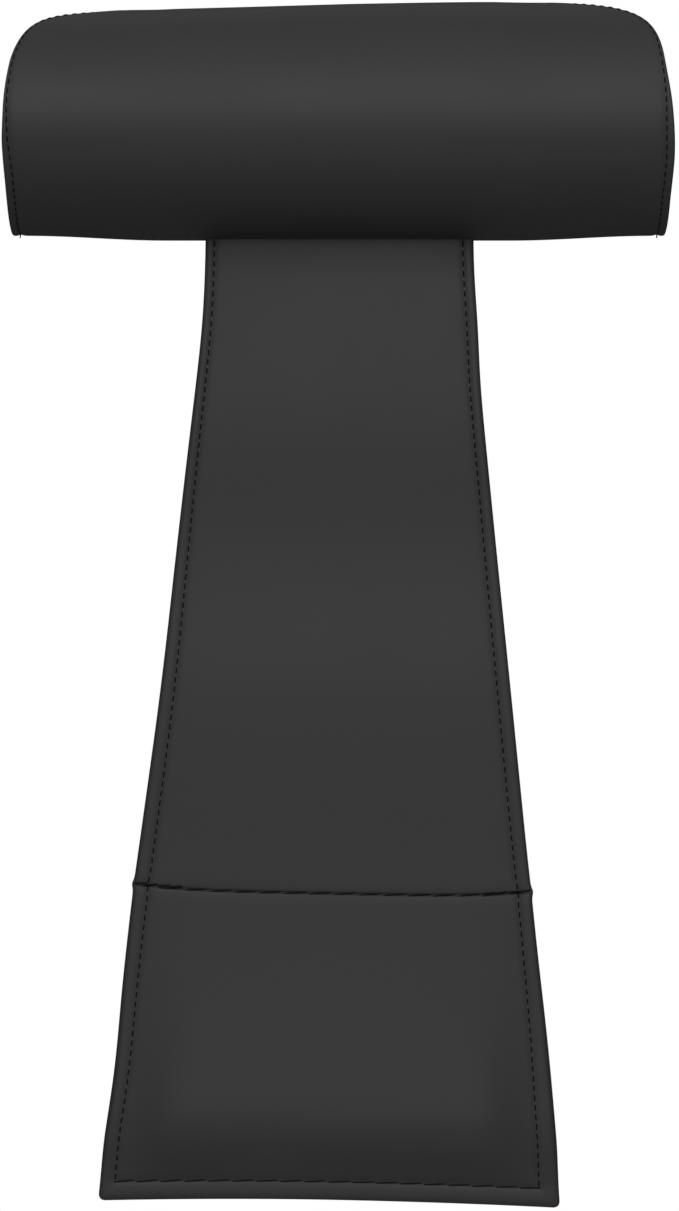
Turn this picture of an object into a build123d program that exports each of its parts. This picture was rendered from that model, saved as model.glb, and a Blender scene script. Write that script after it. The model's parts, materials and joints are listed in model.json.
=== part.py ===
from build123d import *
import os

# A chair headrest with a counterweight strap.
#
# A soft D-section headrest leans on the front of a backrest. A flat strap is sewn into its lower back seam,
# folds over the top of the backrest, and ends in a pocket that holds a sand-filled bag as a counterweight.
#
# Frame, in millimetres: +X across the headrest, +Z from the strap towards the headrest, +Y towards the chair.
# The origin is the middle of the headrest's flat back. The strap hangs straight down, unfolded.

# ---- driving dimensions ----------------------------------------------------------------------------------

HEADREST_LENGTH = 400.0
HEADREST_HEIGHT = 140.0
HEADREST_DEPTH = 80.0
TOP_CORNER_RADIUS = 30.0  # seen from the front
BACK_EDGE_RADIUS = 14.0  # the edge between the top and the flat back

STRAP_LENGTH = 585.0  # below the headrest
STRAP_TOP_WIDTH = 163.0
STRAP_END_WIDTH = 280.0
STRAP_THICKNESS = 6.0
POCKET_HEIGHT = 190.0
POCKET_BULGE = 20.0  # the pocket's full thickness
BASE_SIDE, BASE_TOP, BASE_END = 11.0, 8.0, 13.0  # where the pocket's mound starts, in from each edge
CROWN_SIDE, CROWN_TOP, CROWN_END = 36.0, 84.0, 52.0  # where it has its full height: the sand settles low
CHANNEL_SEAM = 34.0  # from the middle to each seam between the sand bag's three channels
BAG_CLOTH = 0.8

LEATHER = 1.4  # the headrest's cover
STRAP_LEATHER = 1.2
WADDING = 4.9
LAYER_GAP = 0.1  # keeps curved layers from cutting into each other
FLANGE = 5.0  # width of the sewn lip around each end panel
STITCH_MARGIN = 8.0  # from the strap's side edge to its stitches
HEM_MARGIN = 12.0  # from the strap's bottom edge to its stitches
THREAD = 0.8
THREAD_DEPTH = 0.5
BACK_TACK = 26.0  # length of the second row at each end of the pocket's top seam

# The strap bends at these distances below the headrest. Each fold is a pair of lines with a short link between.
SEAM_BEND = 5.0
FRONT_FOLD = 140.0
REAR_FOLD = 300.0
FOLD_SPACING = 44.0
FOLD_GAP = 4.0  # leaves room for the link's own thickness as it turns
SEAM_GAP = 6.0
POCKET_GAP = 7.0

ZIP_HEIGHT = -34.0  # where the zip crosses the back
ZIP_HALF_LENGTH = 172.0
ZIP_OPENING = 10.0
ZIP_DEPTH = -6.4  # the tapes' plane
TAPE_WIDTH = 13.0
TAPE_THICKNESS = 0.6
COIL_HALF_LENGTH = 166.0
SLIDER_START = -158.0
SLIDER_LENGTH = 12.0
SLIDER_WIDTH = 9.4
SLIDER_PLATE = 0.9
SLIDER_MOUTH = 3.4  # between its two plates
PIVOT_DEPTH = -2.3  # the pull's pivot bar
PIVOT_RADIUS = 0.6
PULL_LENGTH = 21.0
PULL_WIDTH = 6.4

# ---- values worked out from them -------------------------------------------------------------------------

TOP = HEADREST_HEIGHT / 2
BOTTOM = -TOP
STRAP_END = BOTTOM - STRAP_LENGTH
POCKET_TOP = STRAP_END + POCKET_HEIGHT
POCKET_EDGE = POCKET_TOP - POCKET_GAP / 2
FLARE_START = BOTTOM - 48
FLARE_END = STRAP_END + 30
FLARE_END_HALF = STRAP_END_WIDTH / 2 - 1.5
WADDING_INSET = LEATHER + LAYER_GAP
CORE_INSET = WADDING_INSET + WADDING + LAYER_GAP
CORE_BACK = -9.3  # the foam stops short of the flat back, behind the zip
PIVOT_X = SLIDER_START + 1
FAR = 1000.0


def block(x0, x1, y0, y1, z0, z1):
    """A box between two corners."""
    middle = ((x0 + x1) / 2, (y0 + y1) / 2, (z0 + z1) / 2)
    return Pos(*middle) * Box(x1 - x0, y1 - y0, z1 - z0)


def write(name, *shapes):
    """One STEP file for a node: its solids, each a piece of its own."""
    solids = [solid for shape in shapes for solid in shape.solids()]
    whole = solids[0] if len(solids) == 1 else Compound(children=solids)
    whole.label = name
    export_step(whole, f"parts/{name}.step")


# ---- the headrest's two outlines -------------------------------------------------------------------------


def d_section(inset):
    """The D-shaped section, endless in X, taken in by inset: an elliptical front on a flat back."""
    half = HEADREST_HEIGHT / 2 - inset
    front = EllipticalCenterArc((-inset, 0), HEADREST_DEPTH - 2 * inset, half, 90, arc_size=180)
    back = Line((-inset, -half), (-inset, half))
    face = Plane.YZ * make_face([front, back])
    corner = face.vertices().sort_by(Axis.Z)[-1]
    rounded = fillet(corner, BACK_EDGE_RADIUS - inset)
    return extrude(rounded, HEADREST_LENGTH, both=True)


def front_outline(inset):
    """The front view, endless in Y, its ends taken in by inset. Past the sewn lip the top comes in too."""
    half = HEADREST_LENGTH / 2 - inset
    tuck = max(inset - FLANGE, 0)
    top = TOP - 1 - tuck  # just clear of the section's top, so that only the corners are cut
    outline = Polyline((-half, BOTTOM - 50), (-half, top), (half, top), (half, BOTTOM - 50), close=True)
    face = Plane.XZ * make_face(outline)
    corners = face.vertices().sort_by(Axis.Z)[-2:]
    rounded = fillet(corners, TOP_CORNER_RADIUS - tuck)
    return extrude(rounded, 2 * HEADREST_DEPTH, both=True)


def side_of(shape, sign):
    """The half of a shape at +X or -X."""
    half = block(0, FAR, -FAR, FAR, -FAR, FAR) if sign > 0 else block(-FAR, 0, -FAR, FAR, -FAR, FAR)
    return shape & half


# ---- headrest: covers ------------------------------------------------------------------------------------


def end_thread(sign):
    """The stitch line around one end, sunk into the cover."""
    line = front_outline(FLANGE - THREAD / 2) - front_outline(FLANGE + THREAD / 2)
    return side_of((d_section(0) - d_section(THREAD_DEPTH)) & line, sign)


def zip_thread(sign):
    """The stitch line above or below the zip, sunk into the back."""
    z = ZIP_HEIGHT + sign * (ZIP_OPENING / 2 + 3.5)
    half = ZIP_HALF_LENGTH - 2
    return block(-half, half, -THREAD_DEPTH, 0, z - THREAD / 2, z + THREAD / 2)


def covers():
    """The main cover goes up the front, over the top and down the back to the zip. A strip closes the rest."""
    skin = (d_section(0) - d_section(LEATHER)) & front_outline(0)
    for sign in (-1, 1):
        skin -= end_thread(sign)
        skin -= zip_thread(sign)
    opening = ZIP_OPENING / 2
    hem_back = ZIP_DEPTH + TAPE_THICKNESS / 2
    slit = block(-FAR, FAR, -LEATHER - 0.01, 1, ZIP_HEIGHT - LAYER_GAP, ZIP_HEIGHT + LAYER_GAP)
    low, high = ZIP_HEIGHT - opening, ZIP_HEIGHT + opening
    mouth = block(-ZIP_HALF_LENGTH, ZIP_HALF_LENGTH, -LEATHER - 1, 1, low, high)
    corner_slit = block(-FAR, FAR, -5.4, -LEATHER, BOTTOM - 1, BOTTOM + LEATHER + 0.1)
    skin -= slit + mouth
    lower_zone = block(-FAR, FAR, -LEATHER, 1, BOTTOM - 1, ZIP_HEIGHT)
    main = skin - lower_zone - corner_slit
    strip = skin & lower_zone
    hems = [
        block(-ZIP_HALF_LENGTH, ZIP_HALF_LENGTH, hem_back, -LEATHER, edge, edge + LEATHER)
        for edge in (high, low - LEATHER)
    ]
    return main + hems[0], strip + hems[1]


def end_panel(sign):
    """A D-shaped panel inside the end, turned out along its edge to make the sewn lip."""
    panel = (front_outline(FLANGE) - front_outline(FLANGE + LEATHER)) & d_section(WADDING_INSET)
    lip = d_section(WADDING_INSET) - d_section(WADDING_INSET + LEATHER)
    lip &= front_outline(0) - front_outline(FLANGE)
    return side_of(panel + lip, sign)


# ---- headrest: filling -----------------------------------------------------------------------------------


def filling():
    """The foam core, its wadding over the front and top, and a wadding sheet behind it above the zip."""
    ends = FLANGE + LEATHER + LAYER_GAP
    in_front_of_zip = block(-FAR, FAR, -FAR, CORE_BACK, -FAR, FAR)
    core = d_section(CORE_INSET) & front_outline(ends + WADDING) & in_front_of_zip
    wrap = (d_section(WADDING_INSET) - d_section(CORE_INSET - LAYER_GAP)) & front_outline(ends)
    wrap &= in_front_of_zip
    sheet_bottom = ZIP_HEIGHT + TAPE_WIDTH + 3
    sheet_top = TOP - BACK_EDGE_RADIUS
    half = HEADREST_LENGTH / 2 - TOP_CORNER_RADIUS
    sheet = block(-half, half, CORE_BACK + LAYER_GAP, -LEATHER - LAYER_GAP, sheet_bottom, sheet_top)
    return core, wrap, sheet


# ---- headrest: zip ---------------------------------------------------------------------------------------


def zip_tape(sign):
    """One woven tape. Its inner edge carries the coil."""
    near = ZIP_HEIGHT + sign * 1.0
    far = ZIP_HEIGHT + sign * TAPE_WIDTH
    half = ZIP_HALF_LENGTH - 0.5
    low, high = sorted((near, far))
    return block(-half, half, ZIP_DEPTH - TAPE_THICKNESS / 2, ZIP_DEPTH + TAPE_THICKNESS / 2, low, high)


def zip_coil(sign):
    """One nylon coil, sewn along the tape's outer face."""
    near, far = sorted((ZIP_HEIGHT + sign * 0.75, ZIP_HEIGHT + sign * 3.6))
    y = ZIP_DEPTH + TAPE_THICKNESS / 2
    return block(-COIL_HALF_LENGTH, COIL_HALF_LENGTH, y, y + 1.0, near, far)


def zip_stops():
    """A clamped stop at each end of the teeth."""
    tape_face = ZIP_DEPTH + TAPE_THICKNESS / 2
    return [
        block(x - 1.3, x + 1.3, tape_face, tape_face + 1.3, ZIP_HEIGHT - 3.6, ZIP_HEIGHT + 3.6)
        for x in (-COIL_HALF_LENGTH - 2, COIL_HALF_LENGTH + 2)
    ]


def slider():
    """The slider: two plates and a post around the coils, lips over the tapes, and a bar for the pull."""
    x0, x1 = SLIDER_START - SLIDER_LENGTH / 2, SLIDER_START + SLIDER_LENGTH / 2
    half = SLIDER_WIDTH / 2
    reach = SLIDER_MOUTH / 2
    body = block(x1 - 3, x1, ZIP_DEPTH - reach, ZIP_DEPTH + reach, ZIP_HEIGHT - 0.5, ZIP_HEIGHT + 0.5)
    for face in (-1, 1):
        y_in = ZIP_DEPTH + face * reach
        y_out = y_in + face * SLIDER_PLATE
        body += block(x0, x1, min(y_in, y_out), max(y_in, y_out), ZIP_HEIGHT - half, ZIP_HEIGHT + half)
        y_lip = ZIP_DEPTH + face * 0.7
        for side in (-1, 1):
            z_out = ZIP_HEIGHT + side * half
            z_in = z_out - side * 0.7
            body += block(x0, x1, min(y_lip, y_in), max(y_lip, y_in), min(z_out, z_in), max(z_out, z_in))
    top = ZIP_DEPTH + reach + SLIDER_PLATE
    for side in (-1, 1):
        z0, z1 = sorted((ZIP_HEIGHT + side * 2.4, ZIP_HEIGHT + side * 3.6))
        body += block(PIVOT_X - 1.4, PIVOT_X + 1.4, top - 0.2, PIVOT_DEPTH + 1.2, z0, z1)
    body += Pos(PIVOT_X, PIVOT_DEPTH, ZIP_HEIGHT) * Cylinder(PIVOT_RADIUS, 6)
    return body


def pull():
    """The pull: an eye on the slider's bar and a flat tab with a hole near its end."""
    eye = Cylinder(1.4, 4.4)
    neck = Pos(3, 0, 0) * Box(6, 1.2, 4.4)
    tab = Pos(PULL_LENGTH - 8, 0, 0) * Box(16, 1.2, PULL_WIDTH)
    tab = fillet(tab.edges().filter_by(Axis.Y), 1.5)
    hole = Pos(PULL_LENGTH - 3, 0, 0) * Rot(90, 0, 0) * Cylinder(1.5, 4)
    bore = Cylinder(PIVOT_RADIUS + 0.15, 8)
    return Pos(PIVOT_X, PIVOT_DEPTH, ZIP_HEIGHT) * (eye + neck + tab - hole - bore)


# ---- headrest: strap root --------------------------------------------------------------------------------


def strap_root():
    """The strap's two leather tails, up through the lower back seam, and the tape sewn between them."""
    half = STRAP_TOP_WIDTH / 2
    low, high = BOTTOM - 1.5, BOTTOM + 16
    front_tail = block(-half, half, -5.2, -4.0, low, high)
    back_tail = block(-half, half, -2.8, -1.6, low, high)
    tape = block(-half + 2, half - 2, -3.9, -2.9, low, high - 2)
    return front_tail, back_tail, tape


# ---- strap -----------------------------------------------------------------------------------------------


def strap_outline(side_inset=0.0, end_inset=0.0):
    """The strap's front view, a face in XZ: straight under the headrest, then flaring to the pocket's end."""
    top_half = STRAP_TOP_WIDTH / 2 - side_inset
    flare_half = FLARE_END_HALF - side_inset
    end_half = STRAP_END_WIDTH / 2 - side_inset
    end = STRAP_END + end_inset
    right = [(top_half, BOTTOM), (top_half, FLARE_START), (flare_half, FLARE_END), (end_half, end)]
    left = [(-x, z) for x, z in reversed(right)]
    face = Plane.XZ * make_face(Polyline(*right, *left, close=True))
    by_height = face.vertices().sort_by(Axis.Z)
    face = fillet(by_height[-4:-2], 450)
    return fillet(face.vertices().sort_by(Axis.Z)[:2], 4)


def sheet_between(face, y0, y1, z0, z1):
    """Part of a face in XZ between two heights, given thickness from y0 to y1."""
    thick = Pos(0, y1, 0) * extrude(face, y1 - y0, dir=(0, -1, 0))
    return thick & block(-FAR, FAR, y0 - 1, y1 + 1, z0, z1)


def side_threads(z0, z1):
    """The two stitch lines of one stretch of strap."""
    ring = strap_outline(STITCH_MARGIN - THREAD / 2, -50) - strap_outline(STITCH_MARGIN + THREAD / 2, -50)
    return sheet_between(ring, -STRAP_THICKNESS, THREAD_DEPTH - STRAP_THICKNESS, z0, z1)


def strap_stretch(name, z0, z1):
    """One stretch of strap: front leather with turned edges, interlining, back leather and side stitches."""
    y_front, y_back = -STRAP_THICKNESS, 0.0
    edge = 5.0
    threads = side_threads(z0, z1)
    rim = strap_outline() - strap_outline(edge, edge)
    front = sheet_between(strap_outline(), y_front, y_front + STRAP_LEATHER, z0, z1)
    front += sheet_between(rim, y_front + STRAP_LEATHER, y_back - STRAP_LEATHER - LAYER_GAP, z0, z1)
    inner = sheet_between(
        strap_outline(edge + LAYER_GAP, edge + LAYER_GAP),
        y_front + STRAP_LEATHER + LAYER_GAP,
        y_back - STRAP_LEATHER - LAYER_GAP,
        z0,
        z1,
    )
    back = sheet_between(strap_outline(), y_back - STRAP_LEATHER, y_back, z0, z1)
    write(f"{name}_front_leather", front - threads)
    write(f"{name}_interlining", inner)
    write(f"{name}_back_leather", back)
    write(f"{name}_side_threads", threads)


def strap():
    """The strap's five stretches, parted at the bend lines."""
    first = FRONT_FOLD - FOLD_SPACING / 2
    second = FRONT_FOLD + FOLD_SPACING / 2
    third = REAR_FOLD - FOLD_SPACING / 2
    fourth = REAR_FOLD + FOLD_SPACING / 2
    half = FOLD_GAP / 2
    bottom_of_strap = STRAP_LENGTH - POCKET_HEIGHT - POCKET_GAP / 2
    stretches = {
        "strap_upper": (SEAM_BEND + SEAM_GAP / 2, first - half),
        "front_link": (first + half, second - half),
        "strap_middle": (second + half, third - half),
        "rear_link": (third + half, fourth - half),
        "strap_lower": (fourth + half, bottom_of_strap),
    }
    for name, (near, far) in stretches.items():
        strap_stretch(name, BOTTOM - far, BOTTOM - near)


# ---- weight pocket ---------------------------------------------------------------------------------------


def half_width(z):
    """Half the strap's width at a height within the pocket."""
    share = (FLARE_START - z) / (FLARE_START - FLARE_END)
    top_half = STRAP_TOP_WIDTH / 2
    return top_half + share * (FLARE_END_HALF - top_half)


def trapezoid(y, side, top, end):
    """A four-sided face in the plane at y, taken in from the pocket's edges."""
    z1, z0 = POCKET_EDGE - top, STRAP_END + end
    w1, w0 = half_width(z1) - side, half_width(z0) - side
    plane = Plane(origin=(0, y, 0), x_dir=(1, 0, 0), z_dir=(0, -1, 0))
    return plane * make_face(Polyline((-w1, z1), (w1, z1), (w0, z0), (-w0, z0), close=True))


def mound(y_base, y_crown, inset):
    """A four-sided mound with sloping flanks, taken in by inset all round."""
    base = trapezoid(y_base, BASE_SIDE + inset, BASE_TOP + inset, BASE_END + inset)
    crown = trapezoid(y_crown, CROWN_SIDE + inset, CROWN_TOP + inset, CROWN_END + inset)
    return loft([base, crown], ruled=True)


def pocket_threads():
    """The stitches round the pocket's three free edges, and along its top seam, doubled at both ends."""
    y0, y1 = -STRAP_THICKNESS, THREAD_DEPTH - STRAP_THICKNESS
    outer = strap_outline(STITCH_MARGIN - THREAD / 2, HEM_MARGIN - THREAD / 2)
    inner = strap_outline(STITCH_MARGIN + THREAD / 2, HEM_MARGIN + THREAD / 2)
    edge = sheet_between(outer - inner, y0, y1, -FAR, POCKET_EDGE - 5)
    z = POCKET_EDGE - 2
    half = half_width(z) - 1
    seam = [block(-half, half, y0, y1, z - THREAD / 2, z + THREAD / 2)]
    for x in (-half, half - BACK_TACK):
        seam.append(block(x, x + BACK_TACK, y0, y1, z - 2 - THREAD / 2, z - 2 + THREAD / 2))
    return edge, seam


def bag_channels(y_back, y_crown, inset, gap):
    """The bag's hollow in three channels, taken in by a small gap for the sand."""
    y0, y1 = y_back - BAG_CLOTH - gap / 2, y_crown + BAG_CLOTH + gap / 2
    hollow = mound(y0, y1, inset + 2 * BAG_CLOTH + 2 * gap)
    half = 1 + gap
    for x in (-CHANNEL_SEAM, CHANNEL_SEAM):
        hollow -= block(x - half, x + half, -FAR, FAR, -FAR, FAR)
    return hollow


def pocket():
    """The pocket: leather back and front, padding, and the sand bag in three quilted channels."""
    y_front = -STRAP_THICKNESS
    edge_thread, seam_threads = pocket_threads()
    outline = strap_outline()
    y_flat = y_front + STRAP_LEATHER
    back_top = -STRAP_LEATHER - LAYER_GAP
    flat = sheet_between(outline, y_front, y_flat, -FAR, POCKET_EDGE)
    rim = sheet_between(outline - strap_outline(5, 5), y_flat, back_top, -FAR, POCKET_EDGE)
    hollow = mound(y_flat + 0.01, -POCKET_BULGE + STRAP_LEATHER, STRAP_LEATHER)
    front = flat + rim + mound(y_front, -POCKET_BULGE, 0) - hollow
    write("pocket_front_leather", front - edge_thread - seam_threads)
    write("pocket_back_leather", sheet_between(outline, -STRAP_LEATHER, 0, -FAR, POCKET_EDGE))
    write("pocket_edge_thread", edge_thread)
    write("pocket_seam_thread", *seam_threads)

    inset = STRAP_LEATHER + 0.8
    pad_crown = -POCKET_BULGE + STRAP_LEATHER + 0.2
    bag_crown = pad_crown + 3.0
    pad = mound(y_flat + 0.2, pad_crown, inset) - mound(y_flat + 0.3, bag_crown, inset + 3)
    write("pocket_foam_pad", pad)

    bag_back = -STRAP_LEATHER - 0.6
    y_bag = bag_crown + 0.2
    bag = mound(bag_back, y_bag, inset + 6)
    write("weight_bag_cloth", bag - bag_channels(bag_back, y_bag, inset + 6, 0))
    write("weight_bag_sand", bag_channels(bag_back, y_bag, inset + 6, LAYER_GAP))


# ---- write every node ------------------------------------------------------------------------------------


def main():
    os.makedirs("parts", exist_ok=True)
    main_cover, lower_panel = covers()
    write("main_cover", main_cover)
    write("lower_back_panel", lower_panel)
    for name, sign in (("left", -1), ("right", 1)):
        write(f"end_panel_{name}", end_panel(sign))
        write(f"end_thread_{name}", end_thread(sign))
    core, wrap, sheet = filling()
    write("foam_core", core)
    write("front_wadding", wrap)
    write("back_wadding", sheet)
    for name, sign in (("upper", 1), ("lower", -1)):
        write(f"zip_tape_{name}", zip_tape(sign))
        write(f"zip_coil_{name}", zip_coil(sign))
        write(f"zip_thread_{name}", zip_thread(sign))
    write("zip_stops", *zip_stops())
    write("zip_slider", slider())
    write("zip_pull", pull())
    front_tail, back_tail, tape = strap_root()
    write("strap_root_tails", front_tail, back_tail)
    write("strap_root_tape", tape)
    strap()
    pocket()


main()
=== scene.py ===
# %% [markdown]
# # A padded chair headrest on a weighted strap
#
# A half-round leather headrest leans on the front of a chair's backrest. A flat strap is sewn into its
# lower back edge, folds over the backrest and ends in a pocket of sand that holds the headrest where it
# is put.
#
# The CAD model is the frame: it gives every place and every hinge. This file makes the soft, sewn
# surfaces that the frame stands for, in metres.

# %% Load the frame
import bpy
import bmesh
import json
import math
import numpy as np
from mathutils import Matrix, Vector


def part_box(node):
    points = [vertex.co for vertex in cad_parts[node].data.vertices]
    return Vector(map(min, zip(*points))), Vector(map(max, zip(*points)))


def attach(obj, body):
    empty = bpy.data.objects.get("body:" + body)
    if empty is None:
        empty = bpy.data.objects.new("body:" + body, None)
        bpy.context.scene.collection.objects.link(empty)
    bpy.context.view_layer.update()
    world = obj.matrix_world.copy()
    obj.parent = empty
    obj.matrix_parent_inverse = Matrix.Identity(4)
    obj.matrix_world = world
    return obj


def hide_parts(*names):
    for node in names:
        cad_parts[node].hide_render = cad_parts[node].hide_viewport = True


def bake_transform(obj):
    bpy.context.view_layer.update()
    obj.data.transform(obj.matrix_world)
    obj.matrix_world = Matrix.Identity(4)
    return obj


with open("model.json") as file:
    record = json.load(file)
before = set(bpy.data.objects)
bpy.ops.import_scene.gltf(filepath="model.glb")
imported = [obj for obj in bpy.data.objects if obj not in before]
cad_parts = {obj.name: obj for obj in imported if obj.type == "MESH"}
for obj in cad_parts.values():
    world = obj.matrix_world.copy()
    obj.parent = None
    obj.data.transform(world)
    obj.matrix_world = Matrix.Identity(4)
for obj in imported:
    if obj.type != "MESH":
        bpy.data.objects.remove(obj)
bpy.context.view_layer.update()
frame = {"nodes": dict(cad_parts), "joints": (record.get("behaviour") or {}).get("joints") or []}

MM = 0.001

# %% [markdown]
# ## Sizes that the frame gives
#
# A distance "below the headrest" runs down the unfolded strap from the headrest's lower edge. The hinges,
# the strap's width and its end all come from the frame, so the soft surfaces always fit the hinges they
# cross.

# %% Read the sizes from the frame
cover_low, cover_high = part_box("main_cover")
BOTTOM = cover_low.z
DEPTH = -cover_low.y
HALF_LENGTH = cover_high.x
CROWN = -BOTTOM + 3.0 * MM  # the padding stands a little higher than the plain cover
HINGE = {joint["name"]: BOTTOM - joint["pos_m"][2] for joint in frame["joints"] if joint["type"] == "hinge"}
STRAP_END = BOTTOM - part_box("pocket_back_leather")[0].z
STRAP_THICKNESS = -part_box("strap_upper_front_leather")[0].y
ZIP_Z = (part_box("zip_coil_upper")[1].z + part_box("zip_coil_lower")[0].z) / 2
ZIP_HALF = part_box("zip_tape_upper")[1].x + 0.5 * MM
print(f"headrest {2 * HALF_LENGTH / MM:.0f} mm long, strap {STRAP_END / MM:.0f} mm long")
print({name: round(place / MM, 1) for name, place in HINGE.items()})

# %% [markdown]
# ## Small helpers
#
# Smooth steps and bumps shape every padded surface here. A surface is kept as a grid of rings, and one
# function joins the rings into a mesh. Each point also keeps its place on the flat hide, in millimetres,
# as an attribute, so that the leather's grain bends with the strap and doesn't swim through it.

# %% Helpers for shapes and meshes
def ramp(value, low, high):
    """0 below low, 1 above high, and a smooth S between them."""
    share = np.clip((np.asarray(value, float) - low) / (high - low), 0, 1)
    return share * share * (3 - 2 * share)


def bump(value, width):
    """1 at zero, falling smoothly away over about width on each side."""
    return np.exp(-(np.asarray(value, float) / width) ** 2)


def mesh_object(name, points, faces, hide=None):
    """A smooth mesh object at the origin, with each point's place on the hide stored beside it."""
    mesh = bpy.data.meshes.new(name)
    mesh.from_pydata([tuple(point) for point in points], [], faces)
    mesh.update()
    mesh.shade_smooth()
    if hide is not None:
        flat = mesh.attributes.new("hide_mm", "FLOAT_VECTOR", "POINT")
        flat.data.foreach_set("vector", np.asarray(hide, np.float32).ravel())
    made = bpy.data.objects.new(name, mesh)
    bpy.context.scene.collection.objects.link(made)
    return made


def ring_faces(rings, size):
    """Outward faces between neighbouring closed rings of points."""
    faces = []
    for ring in range(rings - 1):
        a, b = ring * size, (ring + 1) * size
        for step in range(size):
            after = (step + 1) % size
            faces.append((a + step, b + step, b + after, a + after))
    return faces


def plain_mesh(source, name):
    """The evaluated mesh of an object as a new plain object; the source is removed."""
    graph = bpy.context.evaluated_depsgraph_get()
    mesh = bpy.data.meshes.new_from_object(source.evaluated_get(graph))
    made = bpy.data.objects.new(name, mesh)
    bpy.context.scene.collection.objects.link(made)
    bpy.data.objects.remove(source)
    return made


# %% [markdown]
# ## Finishes
#
# The cover is polyurethane-coated faux leather: a cloth backing under a thin plastic skin, embossed with
# a very fine grain. It gives a broad, soft highlight. The thread is bonded black polyester, coloured darker
# than the leather so that it also paints the shade of its stitch holes. The zip is nylon coil on woven
# tape, with a painted zinc slider.

# %% Helpers for colours and nodes
def linear(hex_colour):
    """An sRGB hex colour as linear red, green, blue and alpha."""
    values = [int(hex_colour[i:i + 2], 16) / 255 for i in (1, 3, 5)]
    return [v / 12.92 if v <= 0.04045 else ((v + 0.055) / 1.055) ** 2.4 for v in values] + [1.0]


def connect(owner, made, links):
    """Links nodes, by their first outputs, or single outputs, to a node's inputs by name or number."""
    tree = getattr(owner, "node_tree", owner)
    for key, source in links.items():
        tree.links.new(getattr(source, "outputs", [source])[0], made.inputs[key])


def node(owner, kind, settings=None, links=None):
    """Adds a node to a material, a world or a node group. Settings go by property, input name or number."""
    made = getattr(owner, "node_tree", owner).nodes.new(kind)
    for key, value in (settings or {}).items():
        if isinstance(key, str) and hasattr(made, key):
            setattr(made, key, value)
        else:
            made.inputs[key].default_value = value
    connect(owner, made, links or {})
    return made


def new_material(name, colour, roughness, **sockets):
    """A Principled material with plain values, and its shader for patterns to be linked to."""
    material = bpy.data.materials.new(name)
    material.use_nodes = True
    shader = material.node_tree.nodes["Principled BSDF"]
    shader.inputs["Base Color"].default_value = linear(colour)
    shader.inputs["Roughness"].default_value = roughness
    for key, value in sockets.items():
        shader.inputs[key.replace("_", " ")].default_value = value
    return material, shader


# %% Faux leather
GRAIN_MM = 0.9  # real pebbles are about 0.5 mm; drawn a little coarser so that they show


def leather(name, colour):
    """Coated faux leather: fine embossed pebbles, a slow change of tone, and a broad soft highlight."""
    material, shader = new_material(name, colour, 0.5, IOR=1.46, Specular_IOR_Level=0.34)
    place = node(material, "ShaderNodeAttribute", {"attribute_name": "hide_mm"}).outputs["Vector"]
    wander = node(material, "ShaderNodeTexNoise", {"Scale": 0.9, "Detail": 2.0}, {"Vector": place})
    bend = {"operation": "MULTIPLY_ADD", 1: (0.5, 0.5, 0.5)}
    bent = node(material, "ShaderNodeVectorMath", bend, {0: wander.outputs["Color"], 2: place})
    cells = {"feature": "SMOOTH_F1", "Scale": 1 / GRAIN_MM, "Smoothness": 0.6}
    pebbles = node(material, "ShaderNodeTexVoronoi", cells, {"Vector": bent})
    slow = node(material, "ShaderNodeTexNoise", {"Scale": 0.012, "Detail": 3.0}, {"Vector": place})
    tone = node(material, "ShaderNodeValToRGB", {}, {"Fac": slow})
    for stop, position, strength in zip(tone.color_ramp.elements, (0.3, 0.7), (0.95, 1.05)):
        stop.position = position
        stop.color = [c * strength for c in linear(colour)[:3]] + [1]
    limits = {"From Min": 0.3, "From Max": 0.7, "To Min": 0.55, "To Max": 0.61}
    rough = node(material, "ShaderNodeMapRange", limits, {"Value": slow})
    depth = {"Strength": 0.10, "Distance": 0.06 * MM}
    relief = node(material, "ShaderNodeBump", depth, {"Height": pebbles})
    connect(material, shader, {"Base Color": tone, "Roughness": rough, "Normal": relief})
    return material


LEATHER = leather("faux_leather_matt_black", "#3a3a3b")
print("made", LEATHER.name)

# %% Thread, zip tape, nylon and painted zinc
def thread_material():
    """Bonded polyester thread: twisted strands, drawn as slanting stripes 0.7 mm apart. Its colour is the
    thread's own black, made darker than the leather so that it also paints the shade of the stitch holes.
    """
    # near-black colour: partly the thread's own black, partly painted shade of the stitch holes
    material, shader = new_material("bonded_polyester_thread", "#060607", 0.7, Specular_IOR_Level=0.2)
    place = node(material, "ShaderNodeTexCoord").outputs["Object"]
    stripes = {"bands_direction": "DIAGONAL", "Scale": 520.0, "Distortion": 0.0}
    twist = node(material, "ShaderNodeTexWave", stripes, {"Vector": place}).outputs["Fac"]
    relief = node(material, "ShaderNodeBump", {"Strength": 0.4, "Distance": 0.1 * MM}, {"Height": twist})
    connect(material, shader, {"Normal": relief})
    return material


def woven_tape():
    """Woven polyester tape. Its warp and weft ribs are 1 mm apart, coarser than real ones, to show."""
    material, shader = new_material("woven_polyester_tape", "#171718", 0.85, Sheen_Weight=0.2)
    place = node(material, "ShaderNodeTexCoord").outputs["Object"]
    ribs = []
    for axis in ("X", "Z"):
        stripes = {"bands_direction": axis, "Scale": 314.0, "Distortion": 0.3}
        ribs.append(node(material, "ShaderNodeTexWave", stripes, {"Vector": place}).outputs["Fac"])
    weave = node(material, "ShaderNodeMath", {"operation": "MULTIPLY"}, {0: ribs[0], 1: ribs[1]})
    relief = node(material, "ShaderNodeBump", {"Strength": 0.6, "Distance": 0.15 * MM}, {"Height": weave})
    connect(material, shader, {"Normal": relief})
    return material


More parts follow.
